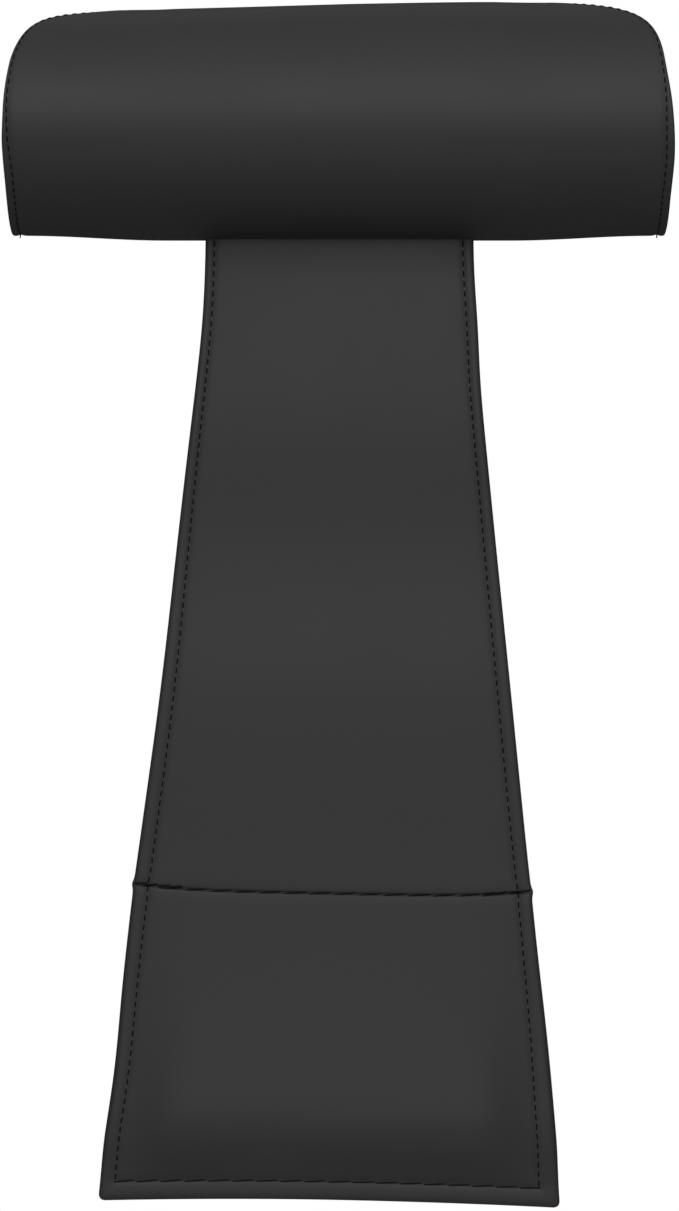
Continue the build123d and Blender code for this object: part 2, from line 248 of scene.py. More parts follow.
def speckled(name, colour, roughness, grain_mm, depth_mm, **sockets):
    """A moulded or painted surface with a fine uneven relief."""
    material, shader = new_material(name, colour, roughness, **sockets)
    place = node(material, "ShaderNodeTexCoord").outputs["Object"]
    grain = {"Scale": 1 / (grain_mm * MM), "Detail": 3.0}
    speck = node(material, "ShaderNodeTexNoise", grain, {"Vector": place})
    depth = {"Strength": 0.3, "Distance": depth_mm * MM}
    relief = node(material, "ShaderNodeBump", depth, {"Height": speck})
    connect(material, shader, {"Normal": relief})
    return material


THREAD = thread_material()
TAPE = woven_tape()
NYLON = speckled("drawn_nylon_coil", "#101011", 0.38, 0.8, 0.02, IOR=1.53)
ZINC = speckled("painted_zinc_slider", "#161617", 0.36, 1.2, 0.03, IOR=1.5, Coat_Weight=0.3)
print("made", THREAD.name, TAPE.name, NYLON.name, ZINC.name)

# %% [markdown]
# ## The headrest's section
#
# Cut across, the headrest is a letter D: half an ellipse in front, a flat back, a soft edge where the
# cover turns over the top, and a sharp sewn edge at the bottom. The rows of the mesh follow this outline.
# They are closer where the shape turns fast: at the sewn edge, and at the zip, where the cover dips into
# a slot.

# %% Rows around the section
SOFT_EDGE = 9.0 * MM  # how far the top back edge is softened
PATH_POINTS = 700  # points along the sharp outline's front, and along its back
PATH_STEP = 0.25 * MM  # between the points of the softened outline
ROW_STEP = 4.6 * MM
SEWN_EDGE_ROWS = [0.0, 0.8, 2.0, 4.2, 7.5]  # millimetres from the sewn bottom edge, where rows are close
ZIP_PROFILE = [  # the slot across the zip: millimetres from its middle, and depth down to clear the slider
    (14, 0), (9, 0), (6.4, 0.05), (5.6, 0.35), (5.15, 1.2), (5.0, 2.6), (4.95, 9.6), (2.5, 9.6), (0, 9.6),
]
SWELL = 0.9 * MM  # the cover starts this much small, and the padding swells it out


def section_path():
    """Close (y, z) points, from the sewn bottom edge up the front, over the top and down the back."""
    angle = np.radians(np.linspace(-90, 90, PATH_POINTS))
    front = np.stack([-DEPTH * np.cos(angle), CROWN * np.sin(angle)], 1)
    front[:, 1] = np.where(front[:, 1] < 0, front[:, 1] * BOTTOM / -CROWN, front[:, 1])
    back = np.stack([np.zeros(PATH_POINTS), np.linspace(CROWN, BOTTOM, PATH_POINTS)], 1)
    path = np.concatenate([front, back[1:]])
    along = np.concatenate([[0], np.cumsum(np.linalg.norm(np.diff(path, axis=0), axis=1))])
    corner = along[len(front) - 1]
    even = np.arange(0, along[-1], PATH_STEP)
    path = np.stack([np.interp(even, along, path[:, i]) for i in (0, 1)], 1)
    reach = int(3 * SOFT_EDGE / PATH_STEP)
    weights = bump(np.arange(-reach, reach + 1) * PATH_STEP, SOFT_EDGE * 1.2)
    weights /= weights.sum()
    padded = np.pad(path, ((reach, reach), (0, 0)), mode="edge")
    soft = np.stack([np.convolve(padded[:, i], weights, mode="valid") for i in (0, 1)], 1)
    near = ramp(SOFT_EDGE * 4 - np.abs(even - corner), 0, SOFT_EDGE * 2)[:, None]
    path = path * (1 - near) + soft * near
    top = path[:, 1].max()
    path[:, 1] = np.where(path[:, 1] > 0, path[:, 1] * CROWN / top, path[:, 1])
    return path


def section_rows():
    """The rows' places, outward directions, lengths along the hide, and depth of the zip slot."""
    path = section_path()
    along = np.concatenate([[0], np.cumsum(np.linalg.norm(np.diff(path, axis=0), axis=1))])
    total = along[-1]
    slot = ZIP_PROFILE + [(-offset, depth) for offset, depth in reversed(ZIP_PROFILE[:-1])]
    zip_along = [total - (ZIP_Z + offset * MM - BOTTOM) for offset, _ in slot]
    hem = np.array(SEWN_EDGE_ROWS) * MM
    front_end, back_start = zip_along[0] - ROW_STEP, zip_along[-1] + ROW_STEP
    front = np.linspace(hem[-1], front_end, int((front_end - hem[-1]) / ROW_STEP) + 1)[1:]
    back_end = total - hem[-1]
    back = np.linspace(back_start, back_end, int((back_end - back_start) / ROW_STEP) + 1)[:-1]
    stations = np.concatenate([hem, front, zip_along, back, total - hem[:0:-1]])
    depth = np.zeros(len(stations))
    first = len(hem) + len(front)
    depth[first:first + len(slot)] = [d * MM for _, d in slot]
    point = np.stack([np.interp(stations, along, path[:, i]) for i in (0, 1)], 1)
    slope = np.gradient(path, axis=0)
    out = np.stack([-slope[:, 1], slope[:, 0]], 1)
    out /= np.linalg.norm(out, axis=1)[:, None]
    out = np.stack([np.interp(stations, along, out[:, i]) for i in (0, 1)], 1)
    out[0] = (0.6, -0.8)  # the sewn edge faces down and back
    out /= np.linalg.norm(out, axis=1)[:, None]
    return point[:, 0], point[:, 1], out, stations, depth


row_y, row_z, row_out, row_along, slot_depth = section_rows()
ROWS = len(row_z)
row_outward = np.stack([np.zeros(ROWS), *row_out.T], 1)
print(f"{ROWS} rows around a section of {row_along[-1] / MM:.0f} mm")

# %% [markdown]
# ## The headrest's ends
#
# Seen from the front, each end is nearly upright and turns over the top in a generous corner. Hand
# stuffing is never quite even: the top sags towards the left end, and the lower edge hangs a little in
# the middle. Each end carries a narrow lip, where the cover and the D-shaped end panel are sewn back to
# back and topstitched. The lip is widest at the bottom and thins out where it turns over the corner.

# %% Outline of the ends
END_OUTLINE = {  # height and distance from the middle, in millimetres
    -1: [
        (-70, 197.8), (-51, 198.1), (-40, 198.5), (-29, 199.1), (-18, 199.6), (-6, 199.1), (8, 198.5),
        (18, 197.6), (28, 196.2), (34, 195.3), (40, 193.9), (48, 191.1), (57, 186.4), (64.7, 178.0),
        (68.2, 168), (70.2, 157), (71.5, 145), (72.4, 130), (73.2, 110),
    ],
    1: [
        (-70, 197.3), (-51, 197.5), (-40, 198.2), (-29, 198.9), (-18, 198.8), (-6, 198.1), (6, 197.0),
        (15, 195.7), (24, 194.2), (31, 193.2), (38, 192.2), (45, 190.5), (52, 187.4), (58, 182.7),
        (63.3, 174.5), (66.4, 165.5), (68.4, 156), (70.0, 146), (71.4, 134), (73.2, 112),
    ],
}
TOP_SAG = 5.7 * MM
EDGE_HANG = 1.9 * MM  # in the middle of the lower edge
EDGE_LIFT = 1.0 * MM  # at both ends of the lower edge
SHOULDER_DROP = 0.8 * MM


def end_x(z, side):
    """How far the lip's edge stands from the middle, at a height on the section."""
    heights, reach = np.array(END_OUTLINE[side]).T * MM
    nudges = np.array([-3.5, -2, -1, 0, 1, 2, 3.5]) * MM
    return np.mean([np.interp(z + nudge, heights, reach) for nudge in nudges], axis=0)


def lip_width(z, side):
    """The lip's width: 5 mm low down, narrowing to 1.3 mm over the top corner."""
    narrow_from, narrow_to = (-45 * MM, 12 * MM) if side < 0 else (-20 * MM, 34 * MM)
    return (5.0 - 2.9 * ramp(z, narrow_from, narrow_to) - 0.8 * ramp(z, 34 * MM, 66 * MM)) * MM


def seam_x(z, side):
    """How far the stitched seam stands from the middle."""
    return end_x(z, side) - lip_width(z, side)


def settle(points):
    """Sags the top towards the left end, drops its shoulders, and hangs the lower edge in the middle."""
    x, z = points[:, 0], points[:, 2]
    soft = 22 * MM
    share = soft * np.log1p(np.exp((60 * MM - x) / soft)) / (205 * MM)
    height = np.clip((z - BOTTOM) / (CROWN - BOTTOM), 0, 1)
    ends = ramp(np.abs(x), 105 * MM, 188 * MM)
    settled = points.copy()
    settled[:, 2] -= TOP_SAG * share * height**2
    shoulders = ramp(np.abs(x), 95 * MM, 130 * MM) + bump(x - 120 * MM, 18 * MM)
    settled[:, 2] -= SHOULDER_DROP * shoulders * height**4
    settled[:, 2] += (EDGE_LIFT * ends - EDGE_HANG * (1 - ends)) * (1 - height) ** 3
    return settled


def ring(x, offset=0.0, shrink=1.0, slot=0.0):
    """One ring of points round the section, moved out by offset, or shrunk towards the panel's middle."""
    y = row_y + row_out[:, 0] * offset - slot_depth * slot
    z = row_z + row_out[:, 1] * offset
    middle_y, middle_z = -0.40 * DEPTH, -2 * MM
    y = middle_y + (y - middle_y) * shrink
    z = middle_z + (z - middle_z) * shrink
    return settle(np.stack([np.broadcast_to(x, row_y.shape), y, z], 1))


VALLEY = 0.9 * MM
lip_share = lip_width(row_z, 1) / lip_width(BOTTOM, 1)
NEAR_SEAM = np.array([0, 0.7, 1.6, 2.8, 4.4, 6.5, 9.5, 13.5, 18.0, 21.4, 22.6, 26.0]) * MM
MIDDLE_RINGS = 60


def body_rings():
    """Rings of the cover from the left seam to the right one: places, and distance from the nearer seam."""
    left, right = seam_x(row_z, -1), seam_x(row_z, 1)
    stations = [(-(left - e), np.full(ROWS, e)) for e in NEAR_SEAM]
    reach = NEAR_SEAM[-1]
    for share in np.linspace(0, 1, MIDDLE_RINGS + 2)[1:-1]:
        x = -(left - reach) * (1 - share) + (right - reach) * share
        stations.append((x, np.minimum(left + x, right - x)))
    stations += [((right - e), np.full(ROWS, e)) for e in NEAR_SEAM[::-1]]
    rings = []
    for x, from_seam in stations:
        valley = -VALLEY * bump(from_seam, 1.9 * MM) * lip_share
        held = bump(slot_depth + np.abs(row_z - ZIP_Z) / 9, 1.2 * MM)
        start_small = -SWELL * ramp(from_seam, 0, 26 * MM) * (1 - held)
        sewn_edge = ramp(np.minimum(row_along, row_along[-1] + 0.8 * MM - row_along), 0, 14 * MM)
        open_slot = ramp(ZIP_HALF - np.abs(x), -0.6 * MM, 0.6 * MM)
        rings.append(ring(x, valley + start_small * sewn_edge, slot=open_slot))
    return rings, np.array([from_seam for _, from_seam in stations])


PANEL_SHARES = [0.985, 0.955, 0.90, 0.82, 0.72, 0.60, 0.46, 0.31, 0.16, 0.05]
DOME = -1.5 * MM  # the end panel lies a little inside its seam until the padding swells it


def panel_rings(side):
    """Rings of an end panel, from its rim to just short of its middle."""
    rim = seam_x(row_z, side) - 0.8 * MM
    peak = seam_x(np.array([0.0]), side)[0] + DOME
    rings = []
    for share in PANEL_SHARES:
        x = rim * share**3 + peak * (1 - share**3)
        rings.append(ring(side * x, -4.0 * MM, share))
    return rings


body, from_seam = body_rings()
print(f"{len(body)} rings from seam to seam")

# %% [markdown]
# ## Swelling the padding
#
# Foam and wadding push the cover out wherever no seam holds it. A cloth simulation does the same: the
# cover and its end panels form one closed bag, pressure fills it, and the stitched rings, the sewn edge
# and the zip are pinned. The cover is tight over its foam, so it only moves outwards, and by no more than
# a capped distance.

# %% Swell the cover by simulation
FRONT_CAP = 2.4 * MM  # the furthest that the front and the back may move
BACK_CAP = 1.6 * MM
SETTLING_FRAMES = 20


def swelling(rings, held_rows):
    """How far the simulated padding moves each point of a closed set of rings."""
    points = np.concatenate(rings)
    faces = ring_faces(len(rings), ROWS)
    faces.append(tuple(range(ROWS)))
    faces.append(tuple(reversed(range((len(rings) - 1) * ROWS, len(rings) * ROWS))))
    bag = mesh_object("swelling_bag", points, faces)
    pins = bag.vertex_groups.new(name="pins")
    for index, held in enumerate(held_rows.ravel()):
        pins.add([index], float(held), "REPLACE")
    cloth = bag.modifiers.new("cloth", "CLOTH")
    cloth.settings.quality = 6
    cloth.settings.mass = 0.35
    cloth.settings.tension_stiffness = 25
    cloth.settings.compression_stiffness = 25
    cloth.settings.shear_stiffness = 12
    cloth.settings.bending_stiffness = 6
    cloth.settings.use_pressure = True
    cloth.settings.uniform_pressure_force = 4
    cloth.settings.effector_weights.gravity = 0
    cloth.settings.vertex_group_mass = "pins"
    cloth.collision_settings.use_collision = False
    scene = bpy.context.scene
    for number in range(1, SETTLING_FRAMES + 1):
        scene.frame_set(number)
    graph = bpy.context.evaluated_depsgraph_get()
    swollen = bag.evaluated_get(graph).to_mesh()
    moved = np.empty(len(points) * 3, np.float64)
    swollen.vertices.foreach_get("co", moved)
    shift = moved.reshape(-1, 3) - points
    bpy.data.objects.remove(bag)
    scene.frame_set(1)
    return shift


def smooth_shift(shift, rings):
    """Evens the movement out between neighbouring points, round and along the rings."""
    grid = shift.reshape(rings, ROWS, 3)
    for _ in range(3):
        around = (np.roll(grid, 1, 1) + np.roll(grid, -1, 1)) / 2
        along = grid.copy()
        along[1:-1] = (grid[2:] + grid[:-2]) / 2
        grid = grid * 0.4 + around * 0.3 + along * 0.3
    return grid.reshape(-1, 3)


left_panel, right_panel = panel_rings(-1), panel_rings(1)
bag_rings = left_panel[::-1] + body + right_panel
panel_count = len(PANEL_SHARES)
held = np.zeros((len(bag_rings), ROWS))
held[panel_count] = held[-panel_count - 1] = 1
held[panel_count:-panel_count, [0, 1, -1]] = 1
zip_rows = np.abs(row_z - ZIP_Z) < 9.5 * MM
zip_rows &= row_y > -2 * MM
held[panel_count:-panel_count, zip_rows] = 1
shift = swelling(bag_rings, held)
cap = np.tile(np.where(row_y > -6 * MM, BACK_CAP, FRONT_CAP), len(bag_rings))
outward = np.tile(row_outward, (len(bag_rings), 1))
outward[:panel_count * ROWS] = (-1, 0, 0)
outward[-panel_count * ROWS:] = (1, 0, 0)
amount = (shift * outward).sum(1)
shift += outward * (np.clip(amount, 0, cap) - amount)[:, None]
length = np.linalg.norm(shift, axis=1)
shift *= (np.minimum(length, cap) / np.maximum(length, 1e-9))[:, None]
shift = smooth_shift(shift, len(bag_rings)) * (1 - held.ravel())[:, None]
print(f"the padding moves the cover by up to {np.linalg.norm(shift, axis=1).max() / MM:.1f} mm")

# %% [markdown]
# ## The headrest's cover
#
# The swollen cover, the two lips and the two end panels are one closed mesh. A lip is two thicknesses of
# leather: its rings run out from the stitched valley, round the edge and back to the end panel.

# %% Build the cover
LIP_PROFILE = [  # share of the lip's width, and millimetres in from the cover's surface
    (0.10, -0.70), (0.24, -0.25), (0.44, 0.0), (0.66, 0.0), (0.84, -0.25), (0.95, -0.8),
    (1.0, -1.5), (0.95, -2.2), (0.84, -2.7), (0.60, -3.0), (0.25, -3.1), (0.0, -3.4),
]


def lip_rings(side):
    """Rings of one lip, from its stitches out to the edge and back to the end panel."""
    puckers = 0.10 * MM * np.sin(row_along / (5.8 * MM) * 2 * math.pi)
    rings = []
    for out, inwards in LIP_PROFILE:
        x = side * (seam_x(row_z, side) + out * lip_width(row_z, side))
        share = lip_share if out < 0.5 else 1
        rings.append(ring(x, inwards * MM * share + puckers * bump(out - 0.3, 0.3) * lip_share))
    return rings


moved = (np.concatenate(bag_rings) + shift).reshape(-1, ROWS, 3)
swollen_left = list(moved[:panel_count])
swollen_body = list(moved[panel_count:-panel_count])
swollen_right = list(moved[-panel_count:])
cover_rings = swollen_left + lip_rings(-1)[::-1] + swollen_body + lip_rings(1) + swollen_right
points = np.concatenate(cover_rings)
along_rings = np.concatenate(
    [[0], np.cumsum([np.linalg.norm(b - a, axis=1).mean() for a, b in zip(cover_rings, cover_rings[1:])])]
)
hide = np.stack(
    [np.repeat(along_rings, ROWS), np.tile(row_along, len(cover_rings)), np.zeros(len(points))], 1
) / MM
faces = ring_faces(len(cover_rings), ROWS)
last = (len(cover_rings) - 1) * ROWS
middles = [points[:ROWS].mean(0), points[last:].mean(0)]
points = np.concatenate([points, middles])
hide = np.concatenate([hide, [hide[0], hide[last]]])
faces += [(len(points) - 2, i, (i + 1) % ROWS) for i in range(ROWS)]
faces += [(len(points) - 1, last + (i + 1) % ROWS, last + i) for i in range(ROWS)]
cover = mesh_object("headrest_cover", points, faces, hide)
smooth = cover.modifiers.new("smooth", "SUBSURF")
smooth.levels = smooth.render_levels = 1
cover.data.materials.append(LEATHER)
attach(cover, "headrest")
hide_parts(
    "main_cover", "lower_back_panel", "end_panel_left", "end_panel_right",
    "foam_core", "front_wadding", "back_wadding", "strap_root_tails", "strap_root_tape",
)
print(f"cover: {len(cover.data.polygons)} faces before smoothing")

# %% [markdown]
# ## Stitches
#
# A lockstitch shows as a row of short slanting lengths of thread, each diving into the leather at both
# ends. One Geometry Nodes tree makes any row: it takes lines with a surface direction on each point,
# spaces a number of stitches evenly along each line, and lays one bowed length of thread at each place.

# %% Geometry Nodes tree for stitches
def new_tree(name, inputs):
    """An empty Geometry Nodes tree with typed inputs, and its input and output nodes."""
    tree = bpy.data.node_groups.new(name, "GeometryNodeTree")
    for label, kind in inputs.items():
        tree.interface.new_socket(label, in_out="INPUT", socket_type="NodeSocket" + kind)
    tree.interface.new_socket("Result", in_out="OUTPUT", socket_type="NodeSocketGeometry")
    return tree, tree.nodes.new("NodeGroupInput").outputs, tree.nodes.new("NodeGroupOutput")


def finish_tree(tree, rows, material, result):
    """Makes the laid pieces real, smooth and painted, and sends them out of the tree."""
    solid = node(tree, "GeometryNodeRealizeInstances", {}, {"Geometry": rows})
    rounded = node(tree, "GeometryNodeSetShadeSmooth", {}, {"Geometry": solid})
    painted = node(tree, "GeometryNodeSetMaterial", {}, {"Geometry": rounded, "Material": material})
    connect(tree, result, {"Result": painted})


def stitch_tree():
    """A row of stitches along every line of the input mesh."""
    inputs = {"Lines": "Geometry", "Count": "Int", "Length": "Float", "Thread Radius": "Float"}
    inputs |= {"Dive": "Float", "Slant": "Float", "Unevenness": "Float", "Material": "Material"}
    tree, given, result = new_tree("stitches", inputs)

    def maths(operation, *values):
        fixed = {index: value for index, value in enumerate(values) if isinstance(value, float)}
        linked = {index: value for index, value in enumerate(values) if index not in fixed}
        return node(tree, "ShaderNodeMath", {"operation": operation, **fixed}, linked)

    half = maths("MULTIPLY", given["Length"], 0.5)
    start = node(tree, "ShaderNodeCombineXYZ", {}, {"X": maths("MULTIPLY", half, -1.0)})
    end = node(tree, "ShaderNodeCombineXYZ", {}, {"X": half})
    strand = node(tree, "GeometryNodeCurvePrimitiveLine", {}, {"Start": start, "End": end})
    strand = node(tree, "GeometryNodeResampleCurve", {"Count": 9}, {"Curve": strand})
    share = node(tree, "GeometryNodeSplineParameter")
    centred = maths("ABSOLUTE", maths("MULTIPLY_ADD", share, 2.0, -1.0))
    sink = maths("MULTIPLY", maths("POWER", centred, 4.0), maths("MULTIPLY", given["Dive"], -1.0))
    drop = node(tree, "ShaderNodeCombineXYZ", {}, {"Z": sink})
    bowed = node(tree, "GeometryNodeSetPosition", {}, {"Geometry": strand, "Offset": drop})
    circle = {"Radius": given["Thread Radius"]}
    circle = node(tree, "GeometryNodeCurvePrimitiveCircle", {"Resolution": 8}, circle)
    sweep = {"Curve": bowed, "Profile Curve": circle}
    thread = node(tree, "GeometryNodeCurveToMesh", {"Fill Caps": True}, sweep)
    line = node(tree, "GeometryNodeMeshToCurve", {}, {"Mesh": given["Lines"]})
    spots = node(tree, "GeometryNodeResampleCurve", {}, {"Curve": line, "Count": given["Count"]})
    facing = {"data_type": "FLOAT_VECTOR", "Name": "surface_out"}
    facing = node(tree, "GeometryNodeInputNamedAttribute", facing)
    tangent = node(tree, "GeometryNodeInputTangent")
    axes = {"primary_axis": "X", "secondary_axis": "Z"}
    turn = {"Primary Axis": tangent, "Secondary Axis": facing}
    turn = node(tree, "FunctionNodeAxesToRotation", axes, turn)
    wobble = node(tree, "FunctionNodeRandomValue", {"data_type": "FLOAT", 2: -1.0, 3: 1.0}).outputs[1]
    lean = maths("ADD", given["Slant"], maths("MULTIPLY", wobble, given["Unevenness"]))
    slant = node(tree, "FunctionNodeAxisAngleToRotation", {"Axis": (0, 0, 1)}, {"Angle": lean})
    turn = {"Rotation": turn, "Rotate By": slant}
    turn = node(tree, "FunctionNodeRotateRotation", {"rotation_space": "LOCAL"}, turn)
    places = {"Points": spots, "Instance": thread, "Rotation": turn}
    rows = node(tree, "GeometryNodeInstanceOnPoints", {}, places)
    finish_tree(tree, rows, given["Material"], result)
    return tree


STITCHES = stitch_tree()


def set_input(modifier, name, value):
    """Sets a Geometry Nodes input by its socket's identifier."""
    for item in modifier.node_group.interface.items_tree:
        if item.name == name and item.in_out == "INPUT":
            modifier[item.identifier] = value


def stitch_row(name, lines, pitch, length, radius=0.46, dive=0.9, slant=0.0, uneven=5.0):
    """Stitches along lines. A line is its points and their outward directions; sizes are in millimetres."""
    points, edges, outs, counts = [], [], [], []
    for places, directions in lines:
        first = len(points)
        points += [tuple(p) for p in places]
        outs += [tuple(d) for d in directions]
        edges += [(first + i, first + i + 1) for i in range(len(places) - 1)]
        span = np.linalg.norm(np.diff(np.asarray(places), axis=0), axis=1).sum()
        counts.append(max(2, round(span / (pitch * MM)) + 1))
    mesh = bpy.data.meshes.new(name)
    mesh.from_pydata(points, edges, [])
    mesh.attributes.new("surface_out", "FLOAT_VECTOR", "POINT").data.foreach_set(
        "vector", np.asarray(outs, np.float32).ravel()
    )
    path = bpy.data.objects.new(name + "_lines", mesh)
    bpy.context.scene.collection.objects.link(path)
    modifier = path.modifiers.new("stitches", "NODES")
    modifier.node_group = STITCHES
    set_input(modifier, "Count", round(sum(counts) / len(counts)))
    set_input(modifier, "Length", length * MM)
    set_input(modifier, "Thread Radius", radius * MM)
    set_input(modifier, "Dive", dive * MM)
    set_input(modifier, "Slant", math.radians(slant))
    set_input(modifier, "Unevenness", math.radians(uneven))
    set_input(modifier, "Material", THREAD)
    made = plain_mesh(path, name)
    return made


print("stitch tree has", len(STITCHES.nodes), "nodes")

# %% Stitch the headrest's ends and zip
STITCH_PITCH = 5.8
STITCH_LENGTH = 3.9


def end_stitch_line(side):
    """The stitched valley round one end. Over the sharp top back edge the thread lies buried."""
    seam_ring = swollen_body[0] if side < 0 else swollen_body[-1]
    top = row_along[np.argmax(row_z)]
    lift = (0.3 - 2.4 * bump(row_along - top, 11 * MM)) * MM
    return (seam_ring + row_outward * lift[:, None])[1:], row_outward[1:]


for side, word in ((-1, "left"), (1, "right")):
    lines = [end_stitch_line(side)]
    row = stitch_row(f"end_stitches_{word}", lines, STITCH_PITCH, STITCH_LENGTH, radius=0.38)
    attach(row, "headrest")
    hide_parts(f"end_thread_{word}")
for sign, word in ((1, "upper"), (-1, "lower")):
    z = ZIP_Z + sign * 8.6 * MM
    x = np.linspace(-ZIP_HALF + 2 * MM, ZIP_HALF - 2 * MM, 60)
    places = np.stack([x, np.full(60, 0.15 * MM), np.full(60, z)], 1)
    row = stitch_row(f"zip_stitches_{word}", [(places, np.tile((0, 1, 0), (60, 1)))], 4.2, 3.3, radius=0.36)
    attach(row, "headrest")
    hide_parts(f"zip_thread_{word}")
print("stitched both ends and both sides of the zip")

# %% [markdown]
# ## The strap's surface
#
# The strap is one long sheet: two layers of leather with thin foam between them, edges turned in and
# topstitched. It is worked out as a sheet with a thickness: where a stitch line pulls the layers together
# there is a valley, outside it a rounded rim, and inside it the foam lifts the face. It isn't quite
# straight or flat: it leans a little to the left, its edges wander, and it keeps a slow wave from having
# been rolled up. The sand bag swells the pocket's front, and its weight lets the hem hang back.

# %% Strap outline and thickness
POCKET_SEAM = HINGE["pocket_fold"]
FLARE_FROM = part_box("strap_upper_back_leather")
FLARE_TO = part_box("front_link_back_leather")
FLARE = (FLARE_TO[1].x - FLARE_FROM[1].x) / (FLARE_FROM[0].z - FLARE_TO[0].z)
ROOT_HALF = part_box("strap_root_tails")[1].x - 0.3 * MM
LEAN = 0.0109  # sideways, for each metre down
SKEW = 0.020  # how much lower the pocket hangs, for each metre to the right
HALF_THICK = STRAP_THICKNESS / 2
HEM = STRAP_END - 0.6 * MM
HANG_BACK = 5.0 * MM  # how far back the heavy pocket's hem hangs


def half_width(down):
    """Half the strap's width: straight under the headrest, then flaring, then straight again at its end."""
    flare_start = (BOTTOM - FLARE_FROM[0].z) - (FLARE_FROM[1].x - ROOT_HALF) / FLARE
    soft = 16 * MM
    flared = ROOT_HALF + FLARE * soft * np.log1p(np.exp((down - flare_start) / soft))
    ease = 1.6 * MM * ramp(down, HEM - 45 * MM, HEM)
    seam_bulk = 1.0 * MM * bump(down - POCKET_SEAM, 3 * MM)
    corner = 4 * MM
    turn = np.clip((down - (HEM - corner)) / corner, 0, 1)
    return flared - ease + seam_bulk - corner * (1 - np.sqrt(1 - turn**2))


def edge_drift(share, down):
    """Small wanders of both edges sideways: neither edge is cut quite straight."""
    left = 1.4 * bump(down - 275 * MM, 80 * MM) + 1.8 * bump(down - 505 * MM, 45 * MM) + 0.6
    right = 1.5 * bump(down - 52 * MM, 32 * MM) + 1.0 * bump(down - 490 * MM, 60 * MM)
    return (left * np.clip(-share, 0, 1) + right * np.clip(share, 0, 1)) * MM


def margin(down, side):
    """From the side edge to the stitch line: a hand-guided row, further in towards the pocket."""
    if side < 0:
        return (5.6 + 3.6 * ramp(down, 0.02, 0.36)) * MM
    return (6.6 + 2.0 * ramp(down, 0.05, 0.36) + 3.4 * ramp(down, 0.40, 0.57)) * MM


def wave(down):
    """How far the strap's slow wave brings it forward: flat at the headrest, and settling at the pocket."""
    start, length, depth = 16 * MM, 176 * MM, 2.0 * MM
    rolled = depth * (1 - np.cos(np.clip(down - start, 0, 1.5 * length) * 2 * math.pi / length))
    settled = 0.9 * depth * ramp(down, start + 1.5 * length, POCKET_SEAM - 4 * MM)
    return rolled - settled - HANG_BACK * np.clip((down - POCKET_SEAM) / (HEM - POCKET_SEAM), 0, 1)


HEM_MARGIN = 11.5 * MM
MOUND = 10.8 * MM
MOUND_PEAK = 128 * MM  # below the pocket's seam
MOUND_FOOT = 44 * MM  # length of the mound's lower slope
MOUND_SIDE = 38 * MM
MOUND_AT_SIDE = 0.35  # share of its height that the mound keeps at the side stitches


def pocket_mound(from_left, from_right, down):
    """How far the settled sand pushes the pocket's front out: fullest low down, steep below that."""
    below = np.clip((down - POCKET_SEAM) / MOUND_PEAK, 0, 1.2)
    rise = 0.55 * below + 0.45 * below**2
    side = MOUND_AT_SIDE + (1 - MOUND_AT_SIDE) * ramp(np.minimum(from_left, from_right), 0, MOUND_SIDE)
    foot = np.maximum(HEM - HEM_MARGIN - 1.5 * MM - down, 0) / MOUND_FOOT
    slope = 1 - np.log1p(np.exp(5 * (1 - 1.35 * foot))) / np.log1p(np.exp(5))
    return MOUND * rise * side * slope


def seam_dip(share, down):
    """How far the pocket's seam hangs below a straight line: it curves up at both edges."""
    return (3.4 * (1 - share**4) - 1.9) * MM * bump(down - POCKET_SEAM, 25 * MM)


print("strap's half width:", [round(float(half_width(down)) / MM, 1) for down in (0.0, POCKET_SEAM)])

# %% [markdown]
# ## Building and splitting the strap
#
# The strap is made as one closed mesh, so that its surface runs on without a break, and then cut across
# in the middle of each stretch between hinges. Each piece crosses one hinge. It keeps the whole strap's
# normals, so the cuts don't show.

# %% Strap points
SIDE_SHARES = [0.0, 0.035, 0.11, 0.22, 0.38, 0.56, 0.74, 0.88, 1.0]  # of the margin, from the edge in
INSIDE = np.array([1.2, 2.4, 4.2, 7.0, 11.0, 16.0, 22.0, 29.0, 38.0]) * MM
MIDDLE_COLUMNS = 15
CUTS = [61.5 * MM, 140 * MM, 220 * MM, 300 * MM, 358.5 * MM]


def strap_columns(down):
    """Distances from the left edge of the columns across the strap, and the whole width there."""
    width = 2 * half_width(down)
    left, right = margin(down, -1), margin(down, 1)
    near_left = [share * left for share in SIDE_SHARES] + list(left + INSIDE)
    near_right = [width - share * right for share in SIDE_SHARES] + list(width - right - INSIDE)
    middle = np.linspace(near_left[-1], near_right[-1], MIDDLE_COLUMNS + 2)[1:-1]
    return np.array(near_left + list(middle) + near_right[::-1]), width


def strap_rows():
    """Nominal distances below the headrest of the rows, closer at the pocket's seam and at the hem."""
    seam_offsets = np.array([-9, -6, -4, -2.6, -1.6, -0.9, -0.4, 0, 0.4, 0.9, 1.6, 2.6, 4, 6, 9]) * MM
    seam_rows = POCKET_SEAM + seam_offsets
    hem_rows = HEM - np.array(SIDE_SHARES) * HEM_MARGIN
    hem_rows = np.concatenate([HEM - HEM_MARGIN - INSIDE[::-1], hem_rows[::-1]])
    marks = [-4 * MM, *CUTS, seam_rows[0]]
    rows = []
    for a, b in zip(marks, marks[1:]):
        rows += list(np.linspace(a, b, int(math.ceil((b - a) / (3.6 * MM))) + 1)[:-1])
    rows += list(seam_rows)
    count = int((hem_rows[0] - seam_rows[-1]) / (4 * MM)) + 1
    rows += list(np.linspace(seam_rows[-1], hem_rows[0], count)[1:-1])
    return rows + list(hem_rows)


